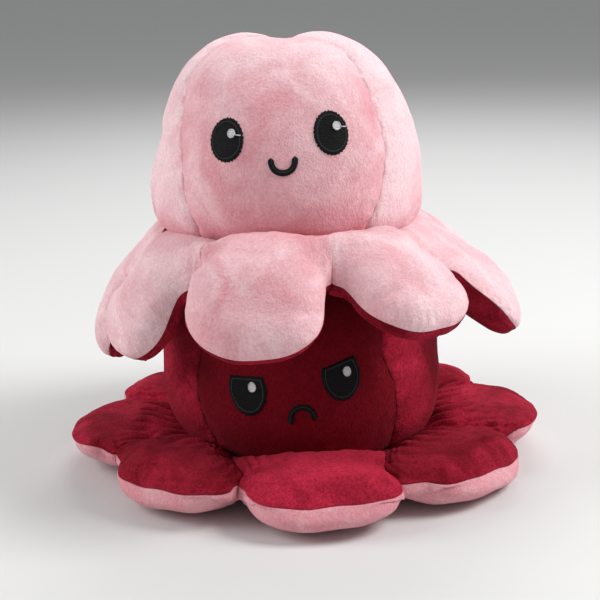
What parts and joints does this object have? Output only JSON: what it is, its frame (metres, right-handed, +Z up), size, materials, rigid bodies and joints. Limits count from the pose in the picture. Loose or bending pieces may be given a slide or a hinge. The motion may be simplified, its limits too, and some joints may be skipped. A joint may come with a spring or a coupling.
{
  "type": "plush octopus",
  "caption": "Stacked reversible plush octopuses with stuffed heads, embroidered faces, pocketed undersides and bending two-coloured tentacles; the upper toy lifts off.",
  "frame": {"origin": "on the floor under the middle of the lower toy", "axes": "+Z up, both faces look along -Y, +X to the viewer's right"},
  "size_m": [0.2058, 0.2058, 0.1804],
  "materials": {
    "pink_plush": "short-pile knitted plush",
    "crimson_plush": "short-pile knitted plush",
    "black_thread": "satin-stitch embroidery",
    "white_thread": "satin-stitch embroidery",
    "fibrefill": "loose polyester fibre"
  },
  "bodies": {
    "grumpy_octopus": {"grumpy_face_panel": "crimson_plush", "grumpy_left_side_panel": "crimson_plush", "grumpy_back_panel": "crimson_plush", "grumpy_right_side_panel": "crimson_plush", "grumpy_head_stuffing": "fibrefill", "grumpy_pocket_lining": "pink_plush", "grumpy_skirt_top": "crimson_plush", "grumpy_skirt_underside": "pink_plush", "grumpy_right_eye": "black_thread", "grumpy_right_eye_glint": "white_thread", "grumpy_left_eye": "black_thread", "grumpy_left_eye_glint": "white_thread", "grumpy_mouth": "black_thread"},
    "grumpy_tentacle_1": {"grumpy_tentacle_1_top": "crimson_plush", "grumpy_tentacle_1_underside": "pink_plush"},
    "grumpy_tentacle_2": {"grumpy_tentacle_2_top": "crimson_plush", "grumpy_tentacle_2_underside": "pink_plush"},
    "grumpy_tentacle_3": {"grumpy_tentacle_3_top": "crimson_plush", "grumpy_tentacle_3_underside": "pink_plush"},
    "grumpy_tentacle_4": {"grumpy_tentacle_4_top": "crimson_plush", "grumpy_tentacle_4_underside": "pink_plush"},
    "grumpy_tentacle_5": {"grumpy_tentacle_5_top": "crimson_plush", "grumpy_tentacle_5_underside": "pink_plush"},
    "grumpy_tentacle_6": {"grumpy_tentacle_6_top": "crimson_plush", "grumpy_tentacle_6_underside": "pink_plush"},
    "grumpy_tentacle_7": {"grumpy_tentacle_7_top": "crimson_plush", "grumpy_tentacle_7_underside": "pink_plush"},
    "grumpy_tentacle_8": {"grumpy_tentacle_8_top": "crimson_plush", "grumpy_tentacle_8_underside": "pink_plush"},
    "happy_octopus": {"happy_face_panel": "pink_plush", "happy_left_side_panel": "pink_plush", "happy_back_panel": "pink_plush", "happy_right_side_panel": "pink_plush", "happy_head_stuffing": "fibrefill", "happy_pocket_lining": "crimson_plush", "happy_skirt_top": "pink_plush", "happy_skirt_underside": "crimson_plush", "happy_right_eye": "black_thread", "happy_right_eye_glint": "white_thread", "happy_left_eye": "black_thread", "happy_left_eye_glint": "white_thread", "happy_mouth": "black_thread"},
    "happy_tentacle_1": {"happy_tentacle_1_top": "pink_plush", "happy_tentacle_1_underside": "crimson_plush"},
    "happy_tentacle_2": {"happy_tentacle_2_top": "pink_plush", "happy_tentacle_2_underside": "crimson_plush"},
    "happy_tentacle_3": {"happy_tentacle_3_top": "pink_plush", "happy_tentacle_3_underside": "crimson_plush"},
    "happy_tentacle_4": {"happy_tentacle_4_top": "pink_plush", "happy_tentacle_4_underside": "crimson_plush"},
    "happy_tentacle_5": {"happy_tentacle_5_top": "pink_plush", "happy_tentacle_5_underside": "crimson_plush"},
    "happy_tentacle_6": {"happy_tentacle_6_top": "pink_plush", "happy_tentacle_6_underside": "crimson_plush"},
    "happy_tentacle_7": {"happy_tentacle_7_top": "pink_plush", "happy_tentacle_7_underside": "crimson_plush"},
    "happy_tentacle_8": {"happy_tentacle_8_top": "pink_plush", "happy_tentacle_8_underside": "crimson_plush"}
  },
  "joints": [
    {"name": "grumpy_tentacle_1_fold", "type": "hinge", "parent": "grumpy_octopus", "child": "grumpy_tentacle_1", "pos_m": [0.00335, -0.06391, 0.01], "axis": [-0.9986, -0.0523, 0], "range_deg": [0, 45]},
    {"name": "grumpy_tentacle_2_fold", "type": "hinge", "parent": "grumpy_octopus", "child": "grumpy_tentacle_2", "pos_m": [0.0483, -0.04199, 0.01], "axis": [-0.6561, -0.7547, 0], "range_deg": [0, 45]},
    {"name": "grumpy_tentacle_3_fold", "type": "hinge", "parent": "grumpy_octopus", "child": "grumpy_tentacle_3", "pos_m": [0.06396, 0.00223, 0.01], "axis": [0.0349, -0.9994, 0], "range_deg": [0, 45]},
    {"name": "grumpy_tentacle_4_fold", "type": "hinge", "parent": "grumpy_octopus", "child": "grumpy_tentacle_4", "pos_m": [0.04365, 0.04681, 0.01], "axis": [0.7314, -0.682, 0], "range_deg": [0, 45]},
    {"name": "grumpy_tentacle_5_fold", "type": "hinge", "parent": "grumpy_octopus", "child": "grumpy_tentacle_5", "pos_m": [-0.00223, 0.06396, 0.01], "axis": [0.9994, 0.0349, 0], "range_deg": [0, 45]},
    {"name": "grumpy_tentacle_6_fold", "type": "hinge", "parent": "grumpy_octopus", "child": "grumpy_tentacle_6", "pos_m": [-0.04681, 0.04365, 0.01], "axis": [0.682, 0.7314, 0], "range_deg": [0, 45]},
    {"name": "grumpy_tentacle_7_fold", "type": "hinge", "parent": "grumpy_octopus", "child": "grumpy_tentacle_7", "pos_m": [-0.06396, -0.00223, 0.01], "axis": [-0.0349, 0.9994, 0], "range_deg": [0, 45]},
    {"name": "grumpy_tentacle_8_fold", "type": "hinge", "parent": "grumpy_octopus", "child": "grumpy_tentacle_8", "pos_m": [-0.04199, -0.0483, 0.01], "axis": [-0.7547, 0.6561, 0], "range_deg": [0, 45]},
    {"name": "happy_octopus_lift_off", "type": "slide", "parent": "grumpy_octopus", "child": "happy_octopus", "axis": [0, 0, 1], "range_m": [0, 0.15]},
    {"name": "happy_tentacle_1_fold", "type": "hinge", "parent": "happy_octopus", "child": "happy_tentacle_1", "pos_m": [-0.01791, -0.06282, 0.09325], "axis": [-0.9816, 0.1908, 0], "range_deg": [0, 66]},
    {"name": "happy_tentacle_2_fold", "type": "hinge", "parent": "happy_octopus", "child": "happy_tentacle_2", "pos_m": [0.02916, -0.05367, 0.09325], "axis": [-0.8387, -0.5446, 0], "range_deg": [0, 46]},
    {"name": "happy_tentacle_3_fold", "type": "hinge", "parent": "happy_octopus", "child": "happy_tentacle_3", "pos_m": [0.0564, -0.01548, 0.09325], "axis": [-0.2419, -0.9703, 0], "range_deg": [0, 62]},
    {"name": "happy_tentacle_4_fold", "type": "hinge", "parent": "happy_octopus", "child": "happy_tentacle_4", "pos_m": [0.04858, 0.03391, 0.09325], "axis": [0.5299, -0.848, 0], "range_deg": [0, 67]},
    {"name": "happy_tentacle_5_fold", "type": "hinge", "parent": "happy_octopus", "child": "happy_tentacle_5", "pos_m": [0.00761, 0.0626, 0.09325], "axis": [0.9781, -0.2079, 0], "range_deg": [0, 72]},
    {"name": "happy_tentacle_6_fold", "type": "hinge", "parent": "happy_octopus", "child": "happy_tentacle_6", "pos_m": [-0.04241, 0.05243, 0.09325], "axis": [0.8192, 0.5736, 0], "range_deg": [0, 75]},
    {"name": "happy_tentacle_7_fold", "type": "hinge", "parent": "happy_octopus", "child": "happy_tentacle_7", "pos_m": [-0.06908, 0.00891, 0.09325], "axis": [0.1392, 0.9903, 0], "range_deg": [0, 80]},
    {"name": "happy_tentacle_8_fold", "type": "hinge", "parent": "happy_octopus", "child": "happy_tentacle_8", "pos_m": [-0.05813, -0.03671, 0.09325], "axis": [-0.5736, 0.8192, 0], "range_deg": [0, 80]}
  ]
}
